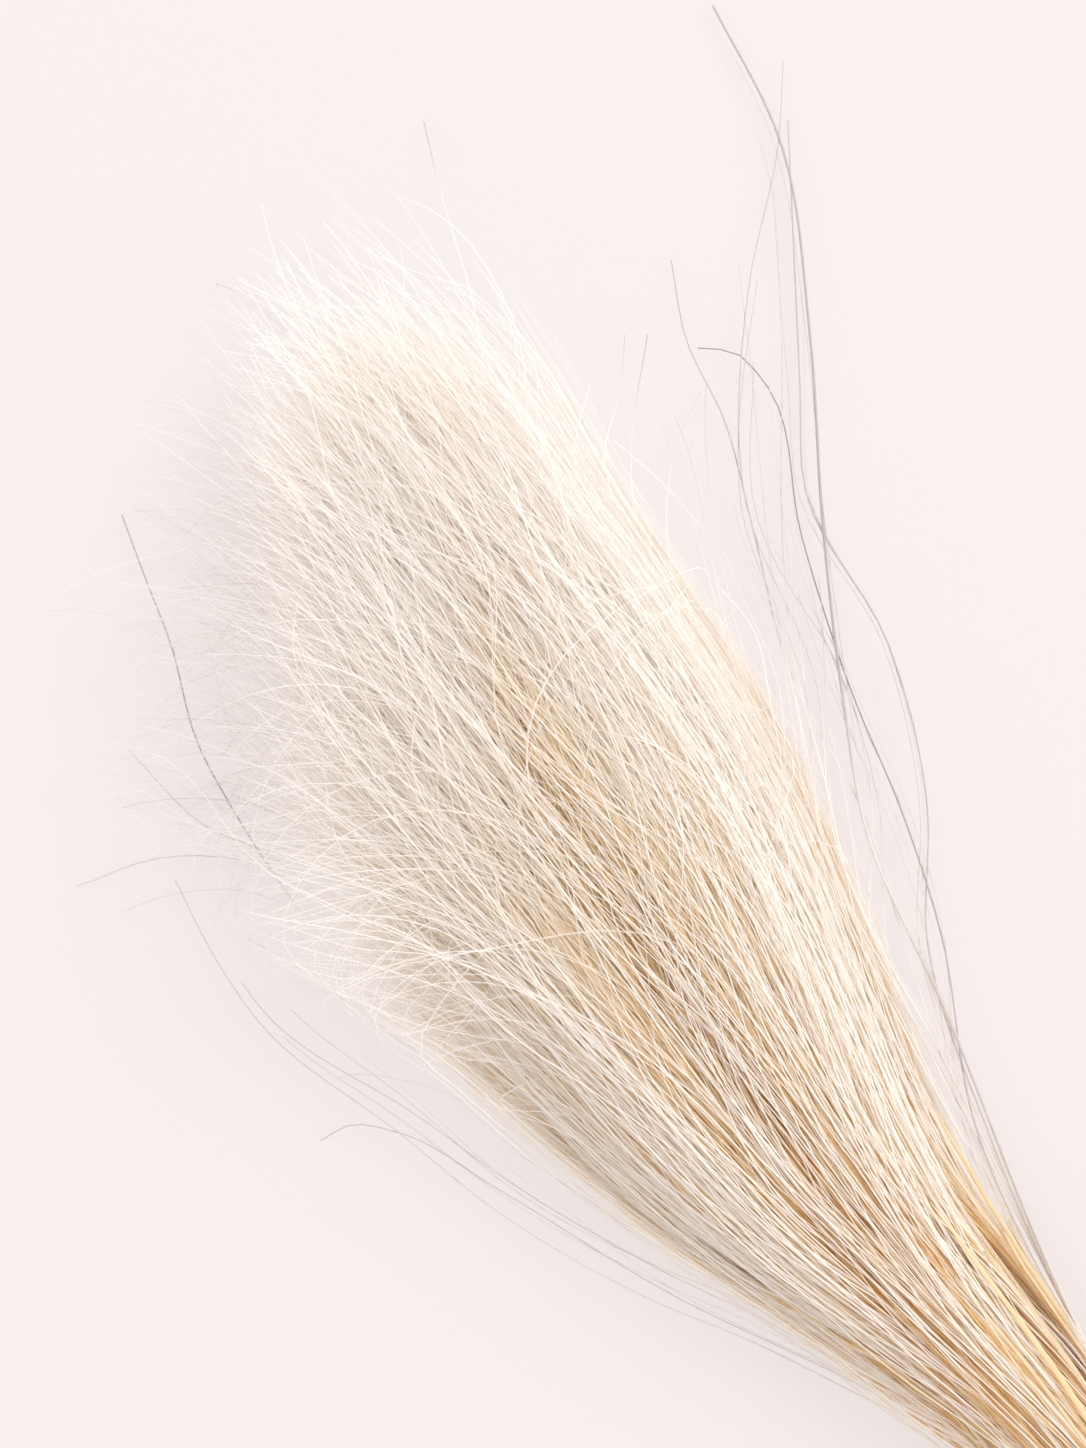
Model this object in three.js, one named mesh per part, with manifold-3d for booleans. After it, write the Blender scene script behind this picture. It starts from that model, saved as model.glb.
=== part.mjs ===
// A bundle of dried feather grass lying on a surface.
//
// Millimetres. +X runs along the bundle from the cut ends to the plume tips, +Z is up, and +Y is to the
// left of someone looking along +X. The origin is on the surface, under the middle of the whole bundle.
//
// Each stem is one solid: a thin stalk that opens into a slim plume and closes to a point. The stems are
// packed in a spiral inside a disc of radius 1, and a section map stretches that disc to the bundle's
// outline at each station along it, so stems that start apart stay apart. A few stems on both sides stray
// from the rest. One twine tie holds the stalks together.
import * as THREE from "three";
import { mergeVertices } from "three/addons/utils/BufferGeometryUtils.js";
import Module from "manifold-3d";

const wasm = await Module();
wasm.setup();

// ---- Driving dimensions ----
const stalkLength = 245; // from the cut ends to the neck, where the bundle opens
const plumeLength = 272; // from the neck to the mean tip
const tieFromCut = 170; // from the cut ends to the middle of the tie
const stemCount = 54;
const stalkRadius = 1.0;
const twineDiameter = 2.2;
const twineTurns = 4;

// How much wider and higher the bundle is at its cut ends than inside the tie, on each side, and its half
// width and half height at the neck, where it is widest, and at its end.
const cutSpread = { width: 1.8, height: 0.3 };
const neckHalf = { width: 22, height: 15 };
const plumeHalf = { width: 54, height: 26 };
const endHalf = { width: 48, height: 19 };

// Sideways sweep of the plume: first to the left of the stalks' line, then to the right of it.
const sweepLeft = 9;
const sweepRight = 14;

// Clearances
const stalkGap = 0.35; // between two stalks inside the tie
const tieGap = 0.35; // between the stalks and the twine
const plumeFill = 0.9; // share of its own space that a plume fills
const flattening = 0.7; // how far the bundle's own weight flattens its underside, from 0 to 1

// ---- Stations along the bundle ----
const neck = stalkLength;
const widest = neck + 0.58 * plumeLength;
const end = neck + plumeLength;
const tieHalfLength = (twineTurns * twineDiameter) / 2 + 2; // the stalks run straight over this length
const tieStart = tieFromCut - tieHalfLength;
const tieEnd = tieFromCut + tieHalfLength;

// A smooth curve through [x, value] points, flat outside them.
function profile(points) {
  return (x) => {
    const last = points.length - 1;
    if (x <= points[0][0]) return points[0][1];
    if (x >= points[last][0]) return points[last][1];
    const k = points.findIndex(([px]) => px > x);
    const [x0, a] = points[k - 1];
    const [x1, b] = points[k];
    return THREE.MathUtils.lerp(a, b, THREE.MathUtils.smoothstep(x, x0, x1));
  };
}

// ---- Packing: each stem's place in a disc of radius 1 ----

// Vogel's spiral spreads points evenly over a disc. It is turned so that stems on both sides rest below.
const goldenAngle = Math.PI * (3 - Math.sqrt(5));
const spiralTurn = THREE.MathUtils.degToRad(-18);
const spiral = Array.from({ length: stemCount }, (_, i) => {
  const r = Math.sqrt((i + 0.5) / stemCount);
  return new THREE.Vector2(r, 0).rotateAround(new THREE.Vector2(), i * goldenAngle + spiralTurn);
});

// Each stem has a small disc of its own, which reaches halfway to its nearest neighbour.
function roomAround(p, points) {
  return Math.min(...points.filter((q) => q !== p).map((q) => p.distanceTo(q))) / 2;
}

// The spiral is shrunk so that all the small discs lie inside the large one.
const reach = Math.max(...spiral.map((p) => p.length() + roomAround(p, spiral)));
const places = spiral.map((p) => p.clone().divideScalar(reach));
const rooms = places.map((p) => roomAround(p, places));
const leastRoom = Math.min(...rooms);

// Inside the tie the stalks are as close as their gap allows.
const tieHalf = (stalkRadius + stalkGap / 2) / leastRoom;
const tieInner = tieHalf + tieGap;
const tieOuter = tieInner + twineDiameter;

// ---- The section map: from the disc to the bundle's outline at x ----
function halfSize(key) {
  return profile([
    [0, tieHalf + cutSpread[key]],
    [tieStart, tieHalf],
    [tieEnd, tieHalf],
    [neck, neckHalf[key]],
    [widest, plumeHalf[key]],
    [end, endHalf[key]],
  ]);
}
const halfWidth = halfSize("width");
const halfHeight = halfSize("height");

const sweep = profile([
  [neck, 0],
  [neck + 0.44 * plumeLength, sweepLeft],
  [end, -sweepRight],
]);
// The twine under the stalks lifts them off the surface.
const lift = profile([
  [0, 0],
  [tieStart, tieOuter - tieHalf],
  [tieEnd, tieOuter - tieHalf],
  [neck, 0],
]);
// Past the tie the underside spreads on the surface, and the bundle's section turns from an oval to a dome.
const spread = profile([
  [tieEnd, 0],
  [neck, 0.5 * flattening],
  [widest, flattening],
]);

function section(x, p) {
  const settled = spread(x) * (1 - p.x * p.x);
  const y = sweep(x) + p.x * halfWidth(x);
  const z = lift(x) + halfHeight(x) * (1 + p.y - spread(x) + settled);
  return new THREE.Vector2(y, z);
}

// ---- Stems ----
const sides = 6;
const plumeOpens = neck - 40; // where the plumes start to widen
const plumeFull = neck + 0.3 * plumeLength;
const tipTaper = 90; // a plume narrows over this length before its tip
const tipRadius = 0.8;
const cutStagger = 4; // the cut ends are this uneven
const tipStagger = 0.07; // and the tips this uneven, as a share of the plume
const tipSlant = 0.08; // the plumes on the right are longer, those on the left shorter
const pressed = 1.3; // how far the lowest plumes are pressed flat, as a share of their half height

// Every stem has its rings at the same stations, so that neighbours never cross between them.
const plumeStations = [0, 0.12, 0.23, 0.34, 0.45, 0.56, 0.67, 0.78, 0.88, 0.98, 1.08];
const stations = [
  0,
  tieStart,
  tieEnd,
  neck - 0.4 * (neck - tieEnd),
  ...plumeStations.map((t) => neck + t * plumeLength),
];

// The strays bend more, and have a ring between every two.
function finer(list) {
  return list.flatMap((x, i) => (i ? [(list[i - 1] + x) / 2, x] : [x]));
}

// The stems that stray, the furthest out first: how far the tip ends up beside its place in the bundle,
// how much it sinks as a share of its height, where it stops as a share of the plume, how slim it is and
// how late it leaves the rest.
const strays = {
  right: [
    { reach: 76, sinks: 0.6, stops: 1.03, slim: 0.5, late: 1.5 },
    { reach: 50, sinks: 0.4, stops: 0.96, slim: 0.55, late: 1.8 },
    { reach: 26, sinks: 0.2, stops: 0.88, slim: 0.6, late: 2 },
  ],
  left: [
    { reach: 53, sinks: 0.6, stops: 0.78, slim: 0.55, late: 1.1 },
    { reach: 35, sinks: 0.6, stops: 0.7, slim: 0.55, late: 1.1 },
    { reach: 18, sinks: 0.3, stops: 0.86, slim: 0.6, late: 1.5 },
  ],
};
const outwards = { right: -1, left: 1 };

// The strays grow from the outermost places on each side.
function strayAt(place) {
  for (const [side, list] of Object.entries(strays)) {
    const out = (p) => p.x * outwards[side];
    const rank = places.filter((p) => out(p) > out(place)).length;
    if (rank < list.length) {
      return { ...list[rank], name: `stray_${side}_${rank + 1}`, way: outwards[side] };
    }
  }
  return null;
}

function tipOf(place, i, stray) {
  if (stray) return neck + stray.stops * plumeLength;
  const uneven = tipStagger * Math.sin(i * 7.4);
  return neck + plumeLength * (1 - tipSlant * place.x + uneven);
}

function stemGeometry(place, i, stray) {
  const tip = tipOf(place, i, stray);
  const cut = cutStagger * Math.abs(Math.sin(i * 3.7));
  const common = stray ? finer(stations) : stations;
  const own = [cut, ...common.filter((x) => x > cutStagger && x < tip - 15), tip];
  const opened = profile([
    [plumeOpens, 0],
    [plumeFull, 1],
    [tip - tipTaper, 1],
    [tip, 0],
  ]);
  const fill = rooms[i] * plumeFill * (stray ? stray.slim : 1);

  // A cylinder with one ring at each station is bent along the stem, with one flat side underneath.
  const rings = own.length - 1;
  const g = new THREE.CylinderGeometry(1, 1, 1, sides, rings, false, Math.PI / sides);
  const v = g.attributes.position;
  for (let k = 0; k < v.count; k++) {
    const x = own[Math.round((v.getY(k) + 0.5) * rings)];
    const round = new THREE.Vector2(v.getZ(k), v.getX(k));
    const onPlume = place.clone().addScaledVector(round, fill * opened(x));
    const thin = (x < tip ? stalkRadius : tipRadius) * (1 - opened(x));
    const at = section(x, onPlume).addScaledVector(round, thin);
    at.y -= pressed * spread(x) * leastRoom * halfHeight(x);
    if (stray) {
      const away = Math.max(0, (x - neck) / (tip - neck)) ** stray.late;
      at.x += stray.way * stray.reach * away;
      at.y -= stray.sinks * section(x, place).y * away * away;
    }
    v.setXYZ(k, x, at.x, Math.max(0, at.y));
  }
  return g;
}

// ---- Tie ----
function solidOf(geometry) {
  const g = geometry.clone();
  g.deleteAttribute("normal");
  g.deleteAttribute("uv");
  const merged = mergeVertices(g, 1e-4);
  return new wasm.Manifold(
    new wasm.Mesh({
      numProp: 3,
      vertProperties: new Float32Array(merged.attributes.position.array),
      triVerts: new Uint32Array(merged.index.array),
    }),
  );
}

function geometryOf(solid) {
  const mesh = solid.getMesh();
  return new THREE.BufferGeometry()
    .setAttribute("position", new THREE.BufferAttribute(new Float32Array(mesh.vertProperties), 3))
    .setIndex(new THREE.BufferAttribute(mesh.triVerts, 1));
}

// The turns of twine lie side by side on a common band, and the knot sits on top of them.
function tieGeometry() {
  const r = twineDiameter / 2;
  const half = twineTurns * r;
  const outline = new THREE.Path();
  outline.moveTo(tieInner, -half);
  outline.lineTo(tieInner + r, -half);
  for (let turn = 0; turn < twineTurns; turn++) {
    const middle = -half + r + turn * twineDiameter;
    outline.absarc(tieInner + r, middle, r, -Math.PI / 2, Math.PI / 2, false);
  }
  outline.lineTo(tieInner, half);
  outline.lineTo(tieInner, -half);
  const turns = new THREE.LatheGeometry(outline.getPoints(3), 24).rotateZ(-Math.PI / 2);

  const knot = new THREE.SphereGeometry(twineDiameter, 10, 8)
    .scale(1.6, 1.5, 1)
    .translate(0, 0, tieInner + twineDiameter);

  return geometryOf(solidOf(turns).add(solidOf(knot)));
}

// ---- Materials ----
const plumeMaterial = new THREE.MeshStandardMaterial({ color: 0xefe0cd, roughness: 0.75, metalness: 0 });
const strayMaterial = new THREE.MeshStandardMaterial({ color: 0xf2e8e0, roughness: 0.75, metalness: 0 });
const twineMaterial = new THREE.MeshStandardMaterial({ color: 0xb9976a, roughness: 0.95, metalness: 0 });

// ---- The bundle ----
function named(name, geometry, material) {
  const mesh = new THREE.Mesh(geometry, material);
  mesh.name = name;
  return mesh;
}

const bundle = new THREE.Group();
let straight = 0;
places.forEach((place, i) => {
  const stray = strayAt(place);
  const name = stray ? stray.name : `stem_${String(++straight).padStart(2, "0")}`;
  bundle.add(named(name, stemGeometry(place, i, stray), stray ? strayMaterial : plumeMaterial));
});
const tie = named("twine_tie", tieGeometry(), twineMaterial);
tie.position.set(tieFromCut, 0, tieOuter);
bundle.add(tie);

// The origin goes under the middle of the bundle's box, on the surface.
const box = new THREE.Box3().setFromObject(bundle, true);
const middle = box.getCenter(new THREE.Vector3());
bundle.position.set(-middle.x, -middle.y, -box.min.z);

export default bundle;
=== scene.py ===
"""The looks of a bundle of dried feather grass that lies on a pale surface.

Each CAD stem is replaced by one grown piece: a straw stalk, a narrow dry leaf on some, and a plume of long
awns, each with a fringe of fine hairs. The tie is replaced by twisted twine. Lengths inside this script are
millimetres and are turned into metres where a mesh is made. A place in the bundle is (t, y, z): t runs
along the bundle from its neck towards the tips, y is to the left of the tie's middle and z is the height
above the surface.
"""

import math
from typing import NamedTuple

import bpy
import numpy as np
from mathutils import Matrix, Vector


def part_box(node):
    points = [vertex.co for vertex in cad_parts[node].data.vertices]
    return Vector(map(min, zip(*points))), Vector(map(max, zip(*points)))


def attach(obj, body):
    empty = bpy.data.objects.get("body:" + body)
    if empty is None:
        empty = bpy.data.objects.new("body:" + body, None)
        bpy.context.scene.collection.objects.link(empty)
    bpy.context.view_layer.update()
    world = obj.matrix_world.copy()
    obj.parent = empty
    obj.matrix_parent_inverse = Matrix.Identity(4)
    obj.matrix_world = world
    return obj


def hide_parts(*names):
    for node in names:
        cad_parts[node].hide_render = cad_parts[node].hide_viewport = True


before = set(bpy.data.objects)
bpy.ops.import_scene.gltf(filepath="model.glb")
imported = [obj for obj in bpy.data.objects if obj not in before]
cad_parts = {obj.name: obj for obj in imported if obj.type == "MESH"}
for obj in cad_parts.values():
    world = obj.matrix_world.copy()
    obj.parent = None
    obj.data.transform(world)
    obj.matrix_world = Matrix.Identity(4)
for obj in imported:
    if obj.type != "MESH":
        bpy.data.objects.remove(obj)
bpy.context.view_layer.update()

MM = 0.001
tie_low, tie_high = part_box("twine_tie")
NECK_PAST_TIE = 75
NECK_X = (tie_low.x + tie_high.x) / 2 + NECK_PAST_TIE * MM
AXIS_Y = (tie_low.y + tie_high.y) / 2


def to_row(points):
    """(t, y, z) in millimetres to the row frame in metres."""
    return np.asarray(points) * MM + np.array([NECK_X, AXIS_Y, 0])


def smooth(x, low, high):
    """0 below low, 1 above high, and smooth between them."""
    s = np.clip((np.asarray(x, float) - low) / (high - low), 0, 1)
    return s * s * (3 - 2 * s)


# ---- The stalks' own lines, from the CAD stems ----

# The stalks draw in a little towards each other at the neck.
NECK_Y = 3
NECK_DRAWN_IN = 0.13


def ring_centres(node):
    """The middle of each ring of a CAD stem, as (t, y, z), from its cut end to its tip."""
    co = np.empty(len(node.data.vertices) * 3)
    node.data.vertices.foreach_get("co", co)
    co = (co.reshape(-1, 3) - np.array([NECK_X, AXIS_Y, 0])) / MM
    keys = np.round(co[:, 0], 1)
    return np.array([co[keys == k].mean(0) for k in np.unique(keys)])


def along(rings, t):
    """The stem's middle at each t, smooth between its rings."""
    t = np.asarray(t, float)
    k = np.clip(np.searchsorted(rings[:, 0], t) - 1, 0, len(rings) - 2)
    a, b = rings[k], rings[k + 1]
    s = smooth(t, a[..., 0], b[..., 0])[..., None]
    found = a + (b - a) * s
    found[..., 0] = t
    drawn_in = NECK_DRAWN_IN * smooth(t, -60, -10)
    found[..., 1] += (NECK_Y - found[..., 1]) * drawn_in
    return found


# ---- How the plume flows ----

# Where the awns of the top layer run, as y at each of these t. The plume has a parting: the awns on its
# right sweep right, and those on its left sweep left.
FLOW_T = np.array([-75, 0, 30, 60, 90, 120, 150, 180, 210, 240, 270, 300], float)
FLOW = {
    -1.0: [-12, -12, -13, -18, -27, -35, -41, -43, -45, -49, -50, -49],
    -0.55: [-8, -8, -9, -13, -20, -28, -34, -38, -42, -46, -47, -46],
    -0.2: [-3, -1, -2, -4, -8, -14, -20, -26, -31, -36, -40, -42],
    0.0: [2, 5, 6, 6, 5, 2, -3, -9, -16, -23, -29, -34],
    0.2: [5, 10, 13, 17, 19, 20, 19, 16, 12, 6, -1, -8],
    0.55: [8, 15, 20, 28, 34, 39, 42, 44, 43, 40, 35, 29],
    1.0: [12, 21, 27, 37, 45, 51, 55, 59, 62, 64, 65, 65],
}
FLOW_A = np.array(sorted(FLOW))
FLOW_Y = np.array([FLOW[a] for a in sorted(FLOW)], float)
# How high the plume is at each of these t, and where its parting runs.
CROWN_T = np.array([-75, 0, 60, 120, 170, 230, 300], float)
CROWN_Z = np.array([24, 29, 36, 42, 44, 37, 26])
PARTING_Y = np.array([4, 7, 9, 8, 3, -19, -38])
PARTING_DEPTH = 0.13  # how far it is sunk, as a share of the plume's height
PARTING_WIDTH = 9
PARTING_SWEEP = 0.5  # how fully the awns take part in the sweep to both sides


def spline(x, points, values):
    """A smooth curve through the points, whose values may have a first axis of their own."""
    slopes = np.gradient(values, points, axis=-1)
    k = np.clip(np.searchsorted(points, x) - 1, 0, len(points) - 2)
    h = points[k + 1] - points[k]
    s = np.clip((x - points[k]) / h, 0, 1)
    return (
        (1 + 2 * s) * (1 - s) ** 2 * values[..., k]
        + s * (1 - s) ** 2 * h * slopes[..., k]
        + s * s * (3 - 2 * s) * values[..., k + 1]
        - s * s * (1 - s) * h * slopes[..., k + 1]
    )


def parting_at(t):
    """Where the parting runs, as y at each t."""
    return spline(t, CROWN_T, PARTING_Y)


def sides_at(t):
    """Where the plume's right and left sides run, as y at each t."""
    return spline(t, FLOW_T, FLOW_Y[0]), spline(t, FLOW_T, FLOW_Y[-1])


def flow(t, a, layer):
    """The place at t of an awn whose side is a, from -1 on the right to 1 on the left, and whose layer is
    from 0 on the surface to 1 on top. Lower layers have no parting."""
    across = spline(t, FLOW_T, FLOW_Y)
    k = np.clip(np.searchsorted(FLOW_A, a) - 1, 0, len(FLOW_A) - 2)
    s = (a - FLOW_A[k]) / (FLOW_A[k + 1] - FLOW_A[k])
    grid = np.indices(t.shape)
    low = across[(k, *grid)]
    high = across[(k + 1, *grid)]
    top = low + (high - low) * s
    even = across[0] + (across[-1] - across[0]) * (a + 1) / 2
    y = even + PARTING_SWEEP * (top - even) * smooth(layer, 0.3, 0.75)
    middle = (across[0] + across[-1]) / 2
    half = np.abs(across[-1] - across[0]) / 2
    out = np.clip((y - middle) / half, -1, 1)
    # The plume's top falls off towards its sides, later and more steeply on the right.
    round_off = np.where(out < 0, (1 - np.abs(out) ** 2.1) ** 0.7, (1 - np.abs(out) ** 1.5) ** 0.75)
    sunk = PARTING_DEPTH * np.exp(-(((y - parting_at(t)) / PARTING_WIDTH) ** 2))
    crown = spline(t, CROWN_T, CROWN_Z) * round_off * (1 - sunk * smooth(t, 10, 60))
    return np.stack([t, y, 1.0 + layer * np.maximum(crown - 1.5, 0.5)], -1)


# ---- Meshes ----


class Strands:
    """Collects strands and needles, and makes one mesh of them."""

    def __init__(self):
        self.points, self.quads, self.tris = [], [], []
        self.straw, self.tone, self.uv = [], [], []
        self.smooth_quads, self.smooth_tris = [], []
        self.count = 0
        self.row = 0

    def add(self, points, straw, tone, uv, quads=None, tris=None, round_sides=False):
        """Points in the row frame, each with its straw, tone and place in the UV map, and their faces."""
        n = len(points)
        self.points.append(points)
        self.straw.append(np.broadcast_to(straw, n))
        self.tone.append(np.broadcast_to(tone, n))
        self.uv.append(uv)
        if quads is not None:
            self.quads.append(quads + self.count)
            self.smooth_quads.append(np.full(len(quads), round_sides))
        if tris is not None:
            self.tris.append(tris + self.count)
            self.smooth_tris.append(np.full(len(tris), False))
        self.count += n

    def rows(self, n):
        """The next n rows of the UV map, one for each strand."""
        first = self.row
        self.row += n
        return first + np.arange(n) + 0.5

    def make(self, name):
        """One mesh object of everything collected so far."""
        points = np.concatenate(self.points)
        quads = np.concatenate(self.quads)
        tris = np.concatenate(self.tris) if self.tris else np.empty((0, 3), int)
        uv = np.concatenate(self.uv)
        uv[:, 1] /= max(self.row, 1)
        loops = np.concatenate([quads.ravel(), tris.ravel()])
        sizes = np.concatenate([np.full(len(quads), 4), np.full(len(tris), 3)])
        mesh = bpy.data.meshes.new(name)
        mesh.vertices.add(len(points))
        mesh.vertices.foreach_set("co", points.astype(np.float32).ravel())
        mesh.loops.add(len(loops))
        mesh.loops.foreach_set("vertex_index", loops.astype(np.int32))
        mesh.polygons.add(len(sizes))
        starts = np.concatenate([[0], np.cumsum(sizes)[:-1]])
        mesh.polygons.foreach_set("loop_start", starts.astype(np.int32))
        mesh.polygons.foreach_set("use_smooth", np.concatenate(self.smooth_quads + self.smooth_tris))
        mesh.update(calc_edges=True)
        # The tone attribute holds each strand's random tone and the painted shade of strands that stand
        # alone.
        for label, values in (("straw", self.straw), ("tone", self.tone)):
            attribute = mesh.attributes.new(label, "FLOAT", "POINT")
            attribute.data.foreach_set("value", np.concatenate(values).astype(np.float32))
        layer = mesh.uv_layers.new(name="OFBake")
        layer.data.foreach_set("uv", uv[loops].astype(np.float32).ravel())
        piece = bpy.data.objects.new(name, mesh)
        bpy.context.scene.collection.objects.link(piece)
        return piece


def frames(paths, ways=None, up=(0.0, 0.0, 1.0)):
    """Unit tangents and two unit sides at each point of each path."""
    tangent = np.gradient(paths, axis=1) if ways is None else ways
    tangent = tangent / (np.linalg.norm(tangent, axis=-1, keepdims=True) + 1e-12)
    side = np.cross(np.array(up), tangent)
    side /= np.linalg.norm(side, axis=-1, keepdims=True) + 1e-9
    return tangent, side, np.cross(tangent, side)


def add_tubes(strands, paths, radii, straw, tone, sides, flat=1.0, turn=0.0, **about):
    """Closed tubes along paths (n, k, 3) in millimetres. radii, straw and tone are (n, k). about is what
    frames takes besides the paths."""
    n, k, _ = paths.shape
    rows = strands.rows(n)
    _, side, up = frames(paths, **about)
    angle = np.arange(sides) / sides * 2 * math.pi + np.zeros((n, k, 1)) + np.reshape(turn, (-1, 1, 1))
    ring = (
        paths[:, :, None]
        + (radii[..., None] * np.cos(angle))[..., None] * side[:, :, None]
        + (radii[..., None] * flat * np.sin(angle))[..., None] * up[:, :, None]
    )
    index = np.arange(n * k * sides).reshape(n, k, sides)
    following = np.roll(index, -1, axis=2)
    quads = np.stack([index[:, :-1], following[:, :-1], following[:, 1:], index[:, 1:]], -1).reshape(-1, 4)
    u = np.broadcast_to(np.linspace(0.01, 0.99, k)[None, :, None], (n, k, sides))
    v = rows[:, None, None] + 0.35 * np.sin(angle)
    # A middle point closes each end.
    ends = np.concatenate([paths[:, 0], paths[:, -1]])
    first, last = n * k * sides + np.arange(n), n * k * sides + n + np.arange(n)
    caps = np.concatenate(
        [
            np.stack([following[:, 0], index[:, 0], np.broadcast_to(first[:, None], (n, sides))], -1),
            np.stack([index[:, -1], following[:, -1], np.broadcast_to(last[:, None], (n, sides))], -1),
        ]
    ).reshape(-1, 3)
    strands.add(
        to_row(np.concatenate([ring.reshape(-1, 3), ends])),
        np.concatenate([np.repeat(straw.ravel(), sides), straw[:, 0], straw[:, -1]]),
        np.concatenate([np.repeat(tone.ravel(), sides), tone[:, 0], tone[:, -1]]),
        np.concatenate(
            [
                np.stack([u.ravel(), v.ravel()], -1),
                np.stack([np.full(n, 0.01), rows], -1),
                np.stack([np.full(n, 0.99), rows], -1),
            ]
        ),
        quads=quads,
        tris=caps,
        round_sides=sides > 5,
    )
    return rows


def add_needles(strands, roots, ways, lengths, width, straw, tone, uv):
    """Fine hairs: slim spikes with three sides, each rooted inside its strand."""
    n = len(roots)
    ways = ways / (np.linalg.norm(ways, axis=-1, keepdims=True) + 1e-12)
    side = np.cross(np.array([0.0, 0.0, 1.0]), ways)
    side /= np.linalg.norm(side, axis=-1, keepdims=True) + 1e-9
    up = np.cross(ways, side)
    angle = np.arange(3) / 3 * 2 * math.pi
    base = (
        roots[:, None]
        + (width[:, None] * np.cos(angle))[..., None] * side[:, None]
        + (width[:, None] * np.sin(angle))[..., None] * up[:, None]
    )
    tip = roots + ways * lengths[:, None]
    tip[:, 2] = np.maximum(tip[:, 2], 0.15)
    points = np.concatenate([base, tip[:, None]], 1).reshape(-1, 3)
    first = np.arange(n)[:, None] * 4
    tris = np.concatenate([first + np.array([[i, (i + 1) % 3, 3]]) for i in range(3)])
    strands.add(
        to_row(points),
        np.repeat(straw, 4),
        np.repeat(tone, 4),
        np.repeat(uv, 4, axis=0),
        tris=tris,
    )


# ---- Awns ----


class Habit(NamedTuple):
    """How one kind of strand grows on each stem."""

    count: int  # strands on a stem
    points: int  # points along a strand
    foot: float  # radius at the foot
    tip: float  # radius at the tip
    wander: float  # how far it leaves the plume's flow
    short: float  # how much sooner it ends
    low: float  # how much lower it lies
    straw: float  # how strawy its foot is
    hairs: float  # hairs on each millimetre
    greys: float  # how much painted shade greys it where it stands alone


UNDERCOAT = Habit(290, 17, 0.09, 0.04, 0.5, 26, 0.10, 0.9, 0, 0.05)
AWNS = Habit(50, 40, 0.19, 0.08, 1.5, -4, -0.10, 0.22, 0.15, 0.2)
LOCKS = 6
# About how far along the bundle the longest strands reach, for each side in the plume.
TIP_AT_SIDE = [-1.3, -1, -0.5, -0.2, 0, 0.2, 0.4, 0.6, 0.8, 1, 1.3]
TIP_AT_T = [278, 290, 300, 292, 274, 252, 233, 217, 204, 190, 168]
# Wavelengths, and how far each wave turns a strand, in radians.
LOCK_WAVES = (230, 130), (0.10, 0.07)
OWN_WAVES = (240, 130), (0.18, 0.14)
RISING_WAVES = (150, 70), (0.04, 0.03)
LOCK_LENGTH = 270
FURTHEST_LEFT = 94
LEFT_MARGIN = 11


def waves(rng, n, s, length, wavelengths, sizes):
    """Smooth noise along n strands: a sum of sine waves."""
    total = np.zeros((n, len(s)))
    for wavelength, size in zip(wavelengths, sizes):
        phase = rng.uniform(0, 2 * math.pi, (n, 1))
        strength = size * rng.normal(1, 0.35, (n, 1))
        total += strength * np.sin(2 * math.pi * s * np.reshape(length, (-1, 1)) / wavelength + phase)
    return total * smooth(s, 0, 0.35)


def bend(paths, turn, rise):
    """Turns each path's heading and pitch by these angles, and walks along it again with its own steps."""
    steps = np.diff(paths, axis=1)
    length = np.linalg.norm(steps, axis=-1)
    heading = np.arctan2(steps[..., 1], steps[..., 0]) + turn[:, 1:]
    pitch = np.arcsin(np.clip(steps[..., 2] / (length + 1e-9), -0.95, 0.95)) + rise[:, 1:]
    walk = (
        np.stack([np.cos(pitch) * np.cos(heading), np.cos(pitch) * np.sin(heading), np.sin(pitch)], -1)
        * length[..., None]
    )
    bent = np.concatenate([paths[:, :1], paths[:, :1] + np.cumsum(walk, 1)], 1)
    return above_surface(bent)


def above_surface(paths, least=0.6, soft=1.5):
    """Strands that would sink into the surface lie on it instead, and none goes far out on the left."""
    past = np.maximum(paths[..., 1] - FURTHEST_LEFT, 0)
    paths[..., 1] += LEFT_MARGIN * np.tanh(past / LEFT_MARGIN) - past
    z = paths[..., 2] - least
    paths[..., 2] = least + np.where(z > 3 * soft, z, soft * np.logaddexp(0, z / soft))
    return paths


def strand_sides(rng, habit, side, lock):
    """Each strand's side in the plume. The strands of a lock lie together, and a few roam."""
    n = habit.count
    a = np.clip(side + rng.normal(0, 0.11, LOCKS)[lock] + rng.normal(0, 0.09, n), -1, 1)
    # Awns leave the parting free.
    a += 0.025 * habit.wander * np.sign(a - 0.1) * np.exp(-(((a - 0.1) / 0.12) ** 2))
    loose = rng.random(n) < np.where(a > 0, 0.2, 0.12) * (np.abs(a) > 0.75)
    a = np.where(loose, np.sign(a) * (1 + 0.3 * rng.beta(1, 2.2, n)), a)
    roaming = rng.random(n) < 0.10 * habit.wander
    return np.where(roaming, np.clip(a + rng.normal(0, 0.35, n), -1.1, 1.1), a)


def strand_tips(rng, habit, a):
    """How far along each strand reaches. The tips thin out over a long way."""
    tip = np.interp(a, TIP_AT_SIDE, TIP_AT_T) - habit.short + rng.normal(2, 4, len(a))
    return tip - (90 - 15 * smooth(a, 0.1, 0.7)) * rng.beta(1.3, 2.2, len(a))


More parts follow.
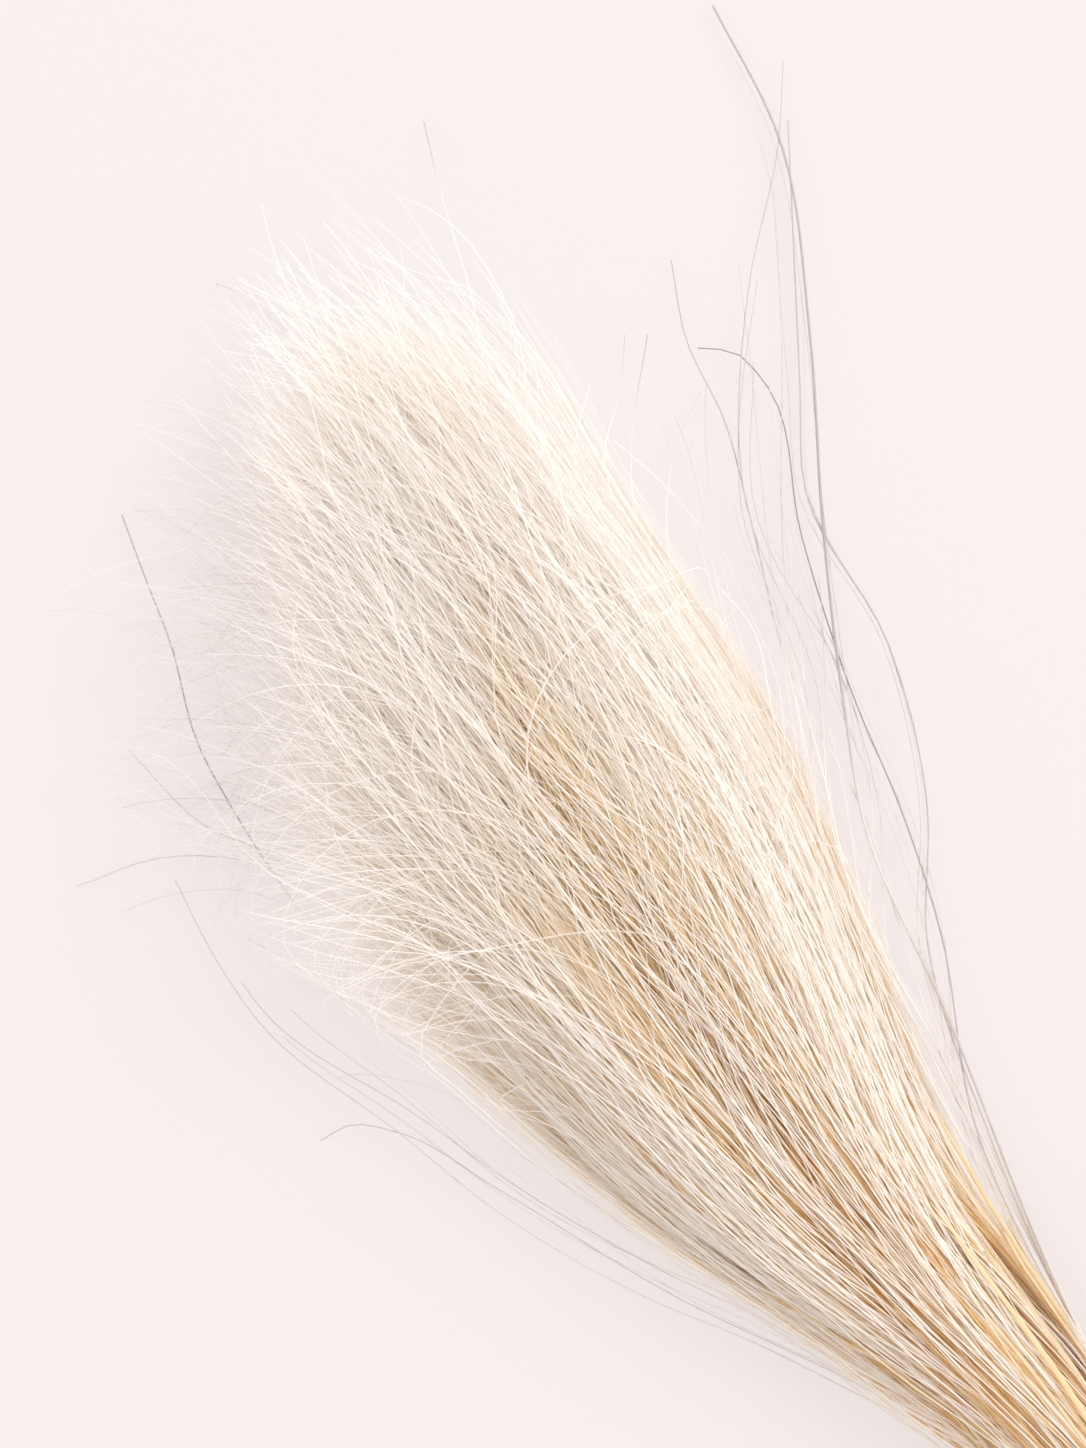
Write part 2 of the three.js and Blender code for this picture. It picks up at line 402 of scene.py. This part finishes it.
def wandering(rng, habit, paths, a, lock, length):
    """Bends strands in waves, partly together with the rest of their lock."""
    n, k, _ = paths.shape
    s, t = np.linspace(0, 1, k), paths[..., 0]
    shared = waves(rng, LOCKS, s, LOCK_LENGTH, *LOCK_WAVES)[lock]
    own = waves(rng, n, s, length, *OWN_WAVES)
    turn = habit.wander * (shared + own) * (0.35 + 0.85 * smooth(t, 60, 200))
    turn += rng.normal(0, 0.02, LOCKS)[lock][:, None] * smooth(s, 0.1, 0.6)
    rise = habit.wander * waves(rng, n, s, length, *RISING_WAVES) - 0.10 * smooth(s, 0.7, 1)
    return kept_near(paths, bend(paths, turn, rise), a)


def curled(rng, habit, paths, a):
    """Curls the strands' tips to the left, and on the left of the plume to both sides."""
    n, k, _ = paths.shape
    curl = np.abs(rng.normal(0, 0.8, n)) * np.where(rng.random(n) < 0.4, 2.0, 0.5)
    curl *= np.where(rng.random(n) < 0.55 * smooth(a, 0.0, 0.5), -1, 1) * (0.7 * habit.wander - 0.15)
    curl *= 0.5 + 0.5 * smooth(a, -0.95, -0.3)
    starts = rng.uniform(0.45, 0.8, (n, 1))
    turn = curl[:, None] * (np.maximum(np.linspace(0, 1, k) - starts, 0) / (1 - starts)) ** 1.2
    return bend(paths, turn, np.zeros_like(turn))


def strand_paths(rng, rings, habit, side, layer):
    """The strands of one stem. They leave the stalk near the neck, in locks, and follow the plume."""
    n = habit.count
    lock = rng.integers(0, LOCKS, n)
    start = rng.uniform(-70, 15, n)
    a = strand_sides(rng, habit, side, lock)
    b = np.clip(layer - habit.low + rng.normal(0, 0.13, n), 0.02, 1)
    length = strand_tips(rng, habit, a) - start
    t = start[:, None] + length[:, None] * np.linspace(0, 1, habit.points)
    free = flow(t, a[:, None] + np.zeros_like(t), b[:, None] + np.zeros_like(t))
    stalk = along(rings, np.minimum(t, 60))
    stalk[..., 0] = t
    leave = smooth(t, start[:, None], np.maximum(start[:, None] + 70, 30))[..., None]
    paths = stalk + (free - stalk) * leave
    paths = wandering(rng, habit, paths, a, lock, length)
    paths = curled(rng, habit, paths, a)
    return combed(paths, rng.uniform(1.5, 8, (n, 1)))


def kept_near(paths, bent, a):
    """Bent strands that have strayed far sideways are brought back, above all on the plume's outside."""
    apart = bent[..., 1] - paths[..., 1]
    outwards = apart * a[:, None] > 0
    most = 16 - 12 * np.abs(np.clip(a, -1, 1))[:, None] * outwards
    bent[..., 1] = paths[..., 1] + most * np.tanh(apart / most)
    return bent


def combed(paths, room):
    """Brings strands that leave the plume sideways back to it, closely on the right and loosely on the
    left. room is how far each strand may lie past the plume's right side."""
    right, left = sides_at(paths[..., 0])
    past = np.maximum(right - paths[..., 1], 0)
    paths[..., 1] += past - room * np.tanh(past / room)
    past = np.maximum(paths[..., 1] - left, 0)
    room = room + 16 * smooth(paths[..., 0], 120, 190)
    paths[..., 1] -= past - room * np.tanh(past / room)
    return paths


def side_of(t, y):
    """A place's side in the plume: -1 at its right side, 1 at its left side, and beyond past them."""
    right, left = sides_at(t)
    return (2 * y - right - left) / np.maximum(left - right, 1)


def straw_along(paths, layer, foot):
    """How strawy a strand is: golden at the neck, low down and in the parting, near white at the tips."""
    t, y = paths[..., 0], paths[..., 1]
    fading = (1 - 0.45 * smooth(t, 20, 120)) * (1 - 0.7 * smooth(t, 100, 230))
    fading *= 1 - 0.3 * smooth(np.abs(side_of(t, y)), 0.55, 1.0) * smooth(t, 0, 40)
    near = np.exp(-(((y - parting_at(t)) / 8) ** 2))
    parting = 0.42 * near * smooth(t, 10, 50) * (1 - smooth(t, 150, 250))
    return foot * (fading + parting) + 0.25 * (1 - smooth(t, -60, 5)) + 0.10 * (0.6 - layer)


def sparse(paths):
    """0 in the thick of the plume and 1 where strands stand alone, past its sides and its tips. It places the
    painted shade of lone strands.
    """
    t, y = paths[..., 0], paths[..., 1]
    side = side_of(t, y)
    ends = np.interp(side, TIP_AT_SIDE, TIP_AT_T)
    past_sides = smooth(np.abs(side), 1.1, 1.5) * (0.55 + 0.45 * smooth(t, 50, 170))
    return np.maximum(past_sides, smooth(t, ends - 15, ends + 15))


def add_awns(strands, rng, paths, layer, habit, size=1.0):
    """Strands that taper to their tips, with a fringe of fine hairs where their habit has them. Strands
    that stand alone are greyed by painted shade."""
    n, k, _ = paths.shape
    s = np.linspace(0, 1, k)
    straw = np.clip(straw_along(paths, layer, habit.straw) + rng.normal(0, 0.06, (n, 1)), 0, 1)
    # Painted shade: the tone falls where strands stand alone, past the plume's sides and tips, so that they
    # look greyer there.
    shade_mask = sparse(paths) * rng.uniform(0.5, 1.2, (n, 1))
    tone = np.clip(1 - rng.uniform(0, 0.05, (n, 1)) - habit.greys * shade_mask, 0, 1)
    taper = habit.foot + (habit.tip - habit.foot) * s[None] ** 0.9
    radii = size * rng.uniform(0.75, 1.2, (n, 1)) * taper * (0.7 + 0.3 * smooth(s, 0, 0.05))
    rows = add_tubes(strands, paths, radii, straw, tone, 3, turn=rng.uniform(0, 6, n))
    if habit.hairs:
        add_hairs(strands, rng, paths, straw, tone, rows, habit.hairs)


def add_hairs(strands, rng, paths, straw, tone, rows, per_mm):
    """Fine hairs leave each strand at a shallow angle all round it, and are shorter towards its tip."""
    n, k, _ = paths.shape
    lengths = np.linalg.norm(np.diff(paths, axis=1), axis=-1).sum(1)
    owner = np.repeat(np.arange(n), (lengths * per_mm).astype(int))
    share = 0.16 + 0.74 * rng.random(len(owner))
    at = share * (k - 1)
    before = np.minimum(at.astype(int), k - 2)
    f = (at - before)[:, None]
    roots = paths[owner, before] * (1 - f) + paths[owner, before + 1] * f
    tangent, side, up = frames(paths)
    angle = rng.uniform(0, 2 * math.pi, len(owner))[:, None]
    spread = np.radians(rng.uniform(5, 16, len(owner)))[:, None]
    out = np.cos(angle) * side[owner, before] + np.sin(angle) * up[owner, before]
    ways = np.cos(spread) * tangent[owner, before] + np.sin(spread) * out
    long = rng.uniform(1.4, 4.0, len(owner)) * (1 - 0.55 * smooth(share, 0.6, 1)) * smooth(share, 0.05, 0.3)
    width = rng.uniform(0.03, 0.05, len(owner))
    pale = np.clip(straw[owner, before] - 0.06, 0.0, 1)
    uv = np.stack([0.01 + 0.98 * share, rows[owner]], -1)
    add_needles(strands, roots, ways, long + 0.6, width, pale, tone[owner, before], uv)


# ---- Loose awns ----

# The awns that leave the plume. Each has its thickness, against that of a usual loose awn, and the places
# (t, y) that it passes after the neck.
LOOSE = {
    "stray_right_1": [
        (2.2, [(75, -36), (116, -46), (139, -58), (173, -78), (208, -101), (247, -122), (279, -128)]),
        (1.2, [(60, -28), (120, -40), (146, -56), (188, -68), (225, -97), (246, -121), (260, -133)]),
        (1.3, [(46, -27), (88, -42), (110, -59), (144, -74), (182, -80), (201, -93), (249, -126)]),
    ],
    "stray_right_2": [
        (1.2, [(50, -24), (92, -38), (117, -47), (152, -53), (183, -66), (205, -75), (224, -79), (240, -87)]),
        (1.2, [(50, -26), (87, -45), (116, -55), (136, -60), (174, -73), (206, -87), (215, -86), (221, -80)]),
        (1.0, [(60, -18), (144, -51), (163, -58), (182, -57), (201, -56), (216, -53)]),
    ],
    "stray_right_3": [
        (1.0, [(60, -20), (130, -34), (165, -37), (175, -41), (198, -54), (208, -65), (213, -75)]),
        (0.8, [(60, -18), (140, -32), (190, -42), (214, -49), (225, -62), (233, -69)]),
        (1.0, [(60, -20), (140, -36), (173, -44), (200, -47), (211, -54), (230, -73)]),
        (1.0, [(40, 0), (100, -4), (149, -1), (166, -18), (168, -39), (171, -56)]),
    ],
    "stray_left_1": [
        (1.5, [(40, 30), (90, 46), (150, 50), (173, 58), (192, 68), (203, 82), (209, 101)]),
        (1.2, [(17, 30), (39, 41), (63, 55), (96, 69), (123, 76), (161, 86), (180, 85), (197, 82)]),
        (1.0, [(17, 28), (60, 50), (100, 66), (123, 76), (131, 84), (132, 91)]),
    ],
    "stray_left_2": [
        (1.2, [(40, 34), (120, 60), (170, 64), (204, 62), (217, 60), (240, 51), (251, 48), (268, 43)]),
        (1.0, [(40, 34), (100, 56), (173, 58), (191, 63), (201, 69), (226, 73)]),
        (1.0, [(40, 36), (83, 51), (116, 59), (139, 64), (168, 73), (177, 77)]),
    ],
    "stray_left_3": [
        (1.2, [(60, 20), (150, 8), (220, -25), (262, -48), (281, -55), (297, -62)]),
        (1.0, [(60, 18), (150, 6), (220, -34), (253, -52), (276, -53), (291, -46)]),
        (1.0, [(60, 24), (150, 30), (220, -8), (265, -32), (283, -14), (296, -4)]),
        (1.0, [(60, 28), (150, 34), (220, 12), (244, -5), (259, -4), (272, -12)]),
    ],
}
LOOSE_POINTS = 60
LOOSE_HEIGHTS = 10, 1.2  # at the neck and at the tip
COMPANIONS = 5
# How much painted shade greys the companion awns where they stand alone.
COMPANION_SHADE = 0.5


def loose_path(rings, places, share):
    """A strand that leaves its stalk at the neck, passes the places and comes down to the surface. It ends
    at this share of the way."""
    stalk = along(rings, np.array([-45.0, -12.0]))
    heights = np.linspace(*LOOSE_HEIGHTS, len(places) + 1)[1:]
    route = np.concatenate([stalk, np.column_stack([places, heights])])
    way = np.concatenate([[0], np.cumsum(np.linalg.norm(np.diff(route, axis=0), axis=1))])
    return spline(np.linspace(0, share * way[-1], LOOSE_POINTS), way, route.T.copy()).T


def add_loose(strands, rng, rings, routes, habit):
    """A stray stem's loose awns, each with slimmer companions that are greyed less by painted shade, most of
    them nearer the plume.
    """
    s = np.linspace(0, 1, LOOSE_POINTS)
    leads, companions, sizes = [], [], []
    for size, places in routes:
        places = np.array(places, float)
        inwards = -np.sign(places[:, 1].mean())
        leads.append(loose_path(rings, places, 1))
        sizes.append(size)
        for _ in range(COMPANIONS):
            path = loose_path(rings, places, rng.uniform(0.62, 0.98))
            _, side, _ = frames(path[None])
            apart = inwards * rng.uniform(-1, 13) * smooth(s, 0.0, 0.6)
            apart += rng.normal(0, 3) * smooth(s, 0.5, 1) ** 2
            apart += rng.normal(0, 0.7) * np.sin(2 * math.pi * s * rng.uniform(1, 2)) * smooth(s, 0, 0.3)
            companions.append(path + side[0] * apart[:, None])
    add_awns(strands, rng, above_surface(np.array(leads)), 0.7, habit, np.array(sizes)[:, None])
    less_shaded = habit._replace(greys=COMPANION_SHADE)
    slimmer = rng.uniform(0.5, 0.9, (len(companions), 1))
    add_awns(strands, rng, above_surface(np.array(companions)), 0.7, less_shaded, slimmer)


# ---- Stalks and leaves ----
STALK_POINTS = 60
STALK_RADIUS = 0.95
STALK_END = 28  # a stalk is hidden in its plume from here on
LEAF_POINTS = 40


def add_stalk(strands, rng, rings):
    """A straw with a swollen joint, cut off square, with a hollow at its cut end."""
    cut = rings[0, 0]
    hollow = np.array([cut + 2.2, cut + 0.05, cut])
    t = np.concatenate([hollow, [cut + 0.05], np.linspace(cut + 0.4, STALK_END, STALK_POINTS)])
    wobble = rng.uniform(0, 6, 2)

    def middle(t):
        at = along(rings, t)
        at[:, 1:] += 0.35 * np.stack([np.sin(t / 31 + wobble[0]), np.cos(t / 27 + wobble[1])], -1)
        at[:, 2] = np.maximum(at[:, 2], STALK_RADIUS)
        return at

    joint = rng.uniform(-150, -95)
    radius = STALK_RADIUS - 0.45 * smooth(t, joint, 20)
    radius = radius + 0.14 * np.exp(-(((t - joint) / 1.3) ** 2)) - 0.09 * smooth(t, joint, joint + 2)
    radius[:4] = 0.42, 0.50, 0.68, 0.91
    straw = 0.72 - 0.05 * smooth(t, cut, 0) + 0.25 * np.exp(-(((t - joint) / 2.0) ** 2))
    straw += rng.normal(0, 0.09)
    straw[:2] += 0.2
    tone = np.full((1, len(t)), 1 - rng.uniform(0, 0.15))
    ways = middle(t + 1) - middle(t - 1)
    add_tubes(strands, middle(t)[None], radius[None], np.clip(straw, 0, 1)[None], tone, 8, ways=ways[None])


def add_leaf(strands, rng, rings):
    """A narrow dry leaf that is rolled round itself and lies along the stalks."""
    start = rng.uniform(-125, -90)
    t = np.linspace(start, rng.uniform(10, 80), LEAF_POINTS)
    path = along(rings, t)
    s = np.linspace(0, 1, LEAF_POINTS)
    away = rng.normal(0, 1, 2)
    away /= np.linalg.norm(away)
    path[:, 1:] += away * (1.1 + 2.2 * smooth(s, 0.4, 1))[:, None]
    path = above_surface(path[None])
    radius = 0.75 * (1 - s**2) ** 0.5 + 0.1
    straw = 0.78 - 0.2 * s + rng.normal(0, 0.08)
    tone = np.full((1, LEAF_POINTS), 1 - rng.uniform(0, 0.15))
    add_tubes(strands, path, radius[None], np.clip(straw, 0, 1)[None], tone, 8, flat=0.35)


# ---- Materials ----


def ramp(nodes, stops):
    """A colour ramp through stops, each a place and a colour."""
    node = nodes.new("ShaderNodeValToRGB")
    elements = node.color_ramp.elements
    for _ in range(len(stops) - 2):
        elements.new(0.5)
    for element, (place, colour) in zip(elements, stops):
        element.position = place
        element.color = (*colour, 1)
    return node


def attribute(nodes, name):
    """One of the strands' own values."""
    node = nodes.new("ShaderNodeAttribute")
    node.attribute_name = name
    return node


def noise(nodes, links, scale, detail):
    """A fine noise that is fixed to the object."""
    place = nodes.new("ShaderNodeTexCoord")
    node = nodes.new("ShaderNodeTexNoise")
    node.inputs["Scale"].default_value = scale
    node.inputs["Detail"].default_value = detail
    links.new(place.outputs["Object"], node.inputs["Vector"])
    return node


def grass_material():
    """Dry grass: its colour runs from silk white through cream to amber straw, with fine streaks and light
    that passes through it. Its tone greys the colour towards mauve: a strand's own random tone, and painted
    shade where strands stand alone."""
    material = bpy.data.materials.new("dried_grass")
    material.use_nodes = True
    nodes, links = material.node_tree.nodes, material.node_tree.links
    nodes.clear()
    straw, tone = attribute(nodes, "straw"), attribute(nodes, "tone")
    mottle = noise(nodes, links, 160, 3)
    shift = nodes.new("ShaderNodeMapRange")
    shift.inputs["From Min"].default_value = 0.3
    shift.inputs["From Max"].default_value = 0.7
    shift.inputs["To Min"].default_value = -0.07
    shift.inputs["To Max"].default_value = 0.07
    links.new(mottle.outputs["Fac"], shift.inputs["Value"])
    add = nodes.new("ShaderNodeMath")
    add.operation = "ADD"
    links.new(straw.outputs["Fac"], add.inputs[0])
    links.new(shift.outputs["Result"], add.inputs[1])
    colour = ramp(
        nodes,
        [
            (0.0, (0.987, 0.972, 0.957)),
            (0.25, (0.982, 0.948, 0.90)),
            (0.55, (0.98, 0.88, 0.69)),
            (0.8, (0.965, 0.815, 0.49)),
            (1.0, (0.90, 0.665, 0.32)),
        ],
    )
    links.new(add.outputs["Value"], colour.inputs["Fac"])
    # Painted shade: the tone, which also holds each strand's random tone, greys the colour towards mauve grey
    # where strands stand alone.
    grey = ramp(nodes, [(0.0, (0.50, 0.455, 0.465)), (1.0, (1.0, 1.0, 1.0))])
    links.new(tone.outputs["Fac"], grey.inputs["Fac"])
    shade = nodes.new("ShaderNodeVectorMath")
    shade.operation = "MULTIPLY"
    links.new(colour.outputs["Color"], shade.inputs[0])
    links.new(grey.outputs["Color"], shade.inputs[1])
    surface = nodes.new("ShaderNodeBsdfPrincipled")
    surface.inputs["Roughness"].default_value = 0.5
    surface.inputs["Specular IOR Level"].default_value = 0.45
    links.new(shade.outputs["Vector"], surface.inputs["Base Color"])
    through = nodes.new("ShaderNodeBsdfTranslucent")
    links.new(shade.outputs["Vector"], through.inputs["Color"])
    both = nodes.new("ShaderNodeMixShader")
    both.inputs["Fac"].default_value = 0.5
    links.new(surface.outputs["BSDF"], both.inputs[1])
    links.new(through.outputs["BSDF"], both.inputs[2])
    out = nodes.new("ShaderNodeOutputMaterial")
    links.new(both.outputs["Shader"], out.inputs["Surface"])
    return material


def twine_material():
    """Natural twine: brown fibres with pale and dark streaks, dull and a little fuzzy."""
    material = bpy.data.materials.new("natural_twine")
    material.use_nodes = True
    nodes, links = material.node_tree.nodes, material.node_tree.links
    surface = nodes["Principled BSDF"]
    streaks = noise(nodes, links, 2600, 4)
    straw = attribute(nodes, "straw")
    mixed = nodes.new("ShaderNodeMath")
    mixed.operation = "MULTIPLY_ADD"
    mixed.inputs[1].default_value = 0.6
    links.new(streaks.outputs["Fac"], mixed.inputs[0])
    links.new(straw.outputs["Fac"], mixed.inputs[2])
    colour = ramp(
        nodes,
        [(0.35, (0.66, 0.52, 0.34)), (0.75, (0.47, 0.34, 0.19)), (1.0, (0.27, 0.18, 0.09))],
    )
    links.new(mixed.outputs["Value"], colour.inputs["Fac"])
    links.new(colour.outputs["Color"], surface.inputs["Base Color"])
    surface.inputs["Roughness"].default_value = 0.85
    surface.inputs["Sheen Weight"].default_value = 0.25
    bump = nodes.new("ShaderNodeBump")
    bump.inputs["Strength"].default_value = 0.5
    bump.inputs["Distance"].default_value = 0.0002
    links.new(streaks.outputs["Fac"], bump.inputs["Height"])
    links.new(bump.outputs["Normal"], surface.inputs["Normal"])
    return material


def paper_material():
    """Matt pale paper. It glows a little, so that shadows on it stay faint."""
    material = bpy.data.materials.new("paper_floor")
    material.use_nodes = True
    surface = material.node_tree.nodes["Principled BSDF"]
    surface.inputs["Base Color"].default_value = (0.22, 0.2065, 0.204, 1)
    surface.inputs["Roughness"].default_value = 0.9
    surface.inputs["Emission Color"].default_value = (1.0, 0.94, 0.93, 1)
    surface.inputs["Emission Strength"].default_value = 0.61
    return material


# ---- The tie ----
TWINE_TURNS = 4
PLY_RADIUS = 0.53
PLY_OFFSET = 0.43  # from the twine's middle to a ply's middle
PLY_LAY = 5.5  # a ply goes once round the twine over this length
TURN_POINTS = 96
FIBRES_ON_EACH_MM = 5


def add_twine(strands, rng, path, up):
    """Two plies twisted round each other along a path, with loose fibres."""
    way = np.concatenate([[0], np.cumsum(np.linalg.norm(np.diff(path, axis=0), axis=1))])
    _, side, over = frames(path[None], up=up)
    for ply in range(2):
        angle = (2 * math.pi * way / PLY_LAY + math.pi * ply)[:, None]
        plies = path + PLY_OFFSET * (np.cos(angle) * side[0] + np.sin(angle) * over[0])
        straw = 0.5 + 0.2 * np.sin(way / 7 + rng.uniform(0, 6)) + rng.normal(0, 0.06, len(way))
        radius = PLY_RADIUS * (1 + 0.07 * np.sin(way / 3.1 + rng.uniform(0, 6)))
        rows = add_tubes(strands, plies[None], radius[None], straw[None], np.ones((1, len(way))), 10, up=up)
        count = int(way[-1] * FIBRES_ON_EACH_MM)
        at = rng.integers(1, len(path) - 1, count)
        out = rng.normal(0, 1, (count, 3))
        ways = (plies[at + 1] - plies[at - 1]) * rng.choice([-1, 1], count)[:, None]
        ways = ways / np.linalg.norm(ways, axis=1)[:, None] + 0.55 * out
        uv = np.column_stack([0.01 + 0.98 * way[at] / way[-1], np.full(count, rows[0])])
        long, width, tone = rng.uniform(0.8, 2.4, count), np.full(count, 0.045), np.full(count, 0.8)
        add_needles(strands, plies[at], ways, long, width, straw[at] - 0.2, tone, uv)


def tight_loop(middles, clearance):
    """The (y, z) points of a loop drawn tight round stalks with these middles, from its top round to its
    top again: their convex outline, this far out."""
    angle = np.linspace(0, 2 * math.pi, 721)
    way = np.stack([np.sin(angle), np.cos(angle)])
    across = np.stack([np.cos(angle), -np.sin(angle)])
    reach = (middles @ way).max(0) + clearance
    points = (reach * way + np.gradient(reach, angle) * across).T
    run = np.concatenate([[0], np.cumsum(np.linalg.norm(np.diff(points, axis=0), axis=1) + 1e-6)])
    even = np.linspace(0, run[-1], TURN_POINTS, endpoint=False)
    return np.stack([np.interp(even, run, points[:, i]) for i in (0, 1)], -1)


def build_tie(material, rng, stems):
    """Four turns of twine drawn tight round the stalks, and a small knot on top."""
    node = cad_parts["twine_tie"]
    middle = -NECK_PAST_TIE
    stalks = np.array([along(rings, np.array([middle]))[0, 1:] for rings in stems])
    loop = tight_loop(stalks, STALK_RADIUS + PLY_RADIUS + PLY_OFFSET)
    first = (tie_low.x - NECK_X) / MM + 1
    length = (tie_high.x - tie_low.x) / MM - 2
    turns = np.tile(loop, (TWINE_TURNS, 1))
    coil = np.column_stack([first + length * np.linspace(0, 1, len(turns)), turns])
    strands = Strands()
    add_twine(strands, rng, coil, (1.0, 0.0, 0.0))

    u = np.linspace(0, 2 * math.pi, 150)
    knot = np.stack(
        [
            middle + 1.05 * (np.sin(u) + 2 * np.sin(2 * u)),
            loop[0, 0] + 0.9 * (np.cos(u) - 2 * np.cos(2 * u)),
            loop[0, 1] + 1.5 - 1.0 * np.sin(3 * u),
        ],
        -1,
    )
    add_twine(strands, rng, knot, (0.0, 0.0, 1.0))
    piece = strands.make("grass_tie")
    piece.data.materials.append(material)
    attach(piece, "root")
    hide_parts(node.name)


# ---- The bundle ----
# Loose awns stand alone, and painted shade greys them strongly.
LOOSE_HABIT = AWNS._replace(foot=0.21, tip=0.12, straw=0.25, hairs=0.3, greys=0.7)
STRAY_SHARE = 0.4  # of a usual stem's strands
LEAFY_SHARE = 0.45  # of the stems
# At this t the CAD stems lie roughly between these y, and up to this height.
PLUME_T = 80.0
PLUME_RIGHT, PLUME_LEFT = -31.0, 42.0
PLUME_HEIGHT = 34


def plume_place(rings):
    """A stem's side, from -1 to 1, and layer, from 0 to 1, from its place in the CAD bundle's plume."""
    at = along(rings, np.array([PLUME_T]))[0]
    side = (at[1] - PLUME_RIGHT) / (PLUME_LEFT - PLUME_RIGHT) * 2 - 1
    return float(np.clip(side, -1, 1)), float(np.clip(at[2] / PLUME_HEIGHT, 0, 1))


def build_stem(name, rings, material, rng):
    """One stem: its stalk, its leaf if it has one, its plume and its loose awns."""
    side, layer = plume_place(rings)
    strands = Strands()
    add_stalk(strands, rng, rings)
    if rng.random() < LEAFY_SHARE:
        add_leaf(strands, rng, rings)
    share = STRAY_SHARE if name in LOOSE else 1
    for habit in (UNDERCOAT, AWNS):
        habit = habit._replace(count=round(habit.count * share))
        add_awns(strands, rng, strand_paths(rng, rings, habit, side, layer), layer, habit)
    if name in LOOSE:
        add_loose(strands, rng, rings, LOOSE[name], LOOSE_HABIT)
    piece = strands.make(name.replace("stem", "grass").replace("stray", "grass_stray"))
    piece.data.materials.append(material)
    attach(piece, "root")
    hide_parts(name)


FIRST_STEM_SEED = 1000
TIE_SEED = 7
dried_grass = grass_material()
stems = {name: ring_centres(node) for name, node in sorted(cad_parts.items()) if name != "twine_tie"}
for number, (name, rings) in enumerate(stems.items()):
    build_stem(name, rings, dried_grass, np.random.default_rng(FIRST_STEM_SEED + number))
build_tie(twine_material(), np.random.default_rng(TIE_SEED), list(stems.values()))

# ---- Floor, light and camera ----

# The picture is taken from straight above, and the bundle points to its upper left.
image_right = Vector((-0.603, -0.798, 0))
image_up = Vector((0.798, -0.603, 0))
view_centre = Vector((NECK_X + 175.6 * MM, AXIS_Y - 3.1 * MM, 0))
FLOOR_SIZE = 40
CAMERA_HEIGHT = 1.0
FRAME_HEIGHT = 0.3186
SENSOR = 36


def add_floor():
    bpy.ops.mesh.primitive_plane_add(size=FLOOR_SIZE, location=(view_centre.x, view_centre.y, 0))
    floor = bpy.context.object
    floor.name = "floor"
    floor.data.materials.append(paper_material())


def add_light(name, place, size, power, colour):
    """A round soft light that faces the middle of the picture."""
    data = bpy.data.lights.new(name, "AREA")
    data.shape = "DISK"
    data.size = size
    data.energy = power
    data.color = colour
    light = bpy.data.objects.new(name, data)
    light.location = place
    light.rotation_euler = (view_centre - place).to_track_quat("-Z", "Y").to_euler()
    bpy.context.scene.collection.objects.link(light)


def add_world():
    """Even light from all round, and a plain colour transform."""
    world = bpy.data.worlds.new("studio")
    world.use_nodes = True
    background = world.node_tree.nodes["Background"]
    background.inputs["Color"].default_value = (1.0, 0.985, 0.985, 1)
    background.inputs["Strength"].default_value = 1.1
    scene = bpy.context.scene
    scene.world = world
    scene.view_settings.view_transform = "Standard"
    # Light has to pass through many pale strands before it leaves the plume again.
    scene.cycles.max_bounces = 24
    scene.cycles.diffuse_bounces = 20
    scene.cycles.transmission_bounces = 12


def add_camera():
    camera = bpy.data.objects.new("camera", bpy.data.cameras.new("camera"))
    camera.data.sensor_width = SENSOR
    camera.data.lens = SENSOR * CAMERA_HEIGHT / FRAME_HEIGHT
    axes = Matrix((image_right, image_up, Vector((0, 0, 1)))).transposed().to_4x4()
    camera.matrix_world = Matrix.Translation(view_centre + Vector((0, 0, CAMERA_HEIGHT))) @ axes
    bpy.context.scene.collection.objects.link(camera)
    bpy.context.scene.camera = camera


add_floor()
key_from = view_centre + image_right * 2.2 + image_up * 1.6 + Vector((0, 0, 2.3))
add_light("key", key_from, 2.4, 72, (1.0, 0.98, 0.96))
add_world()
add_camera()
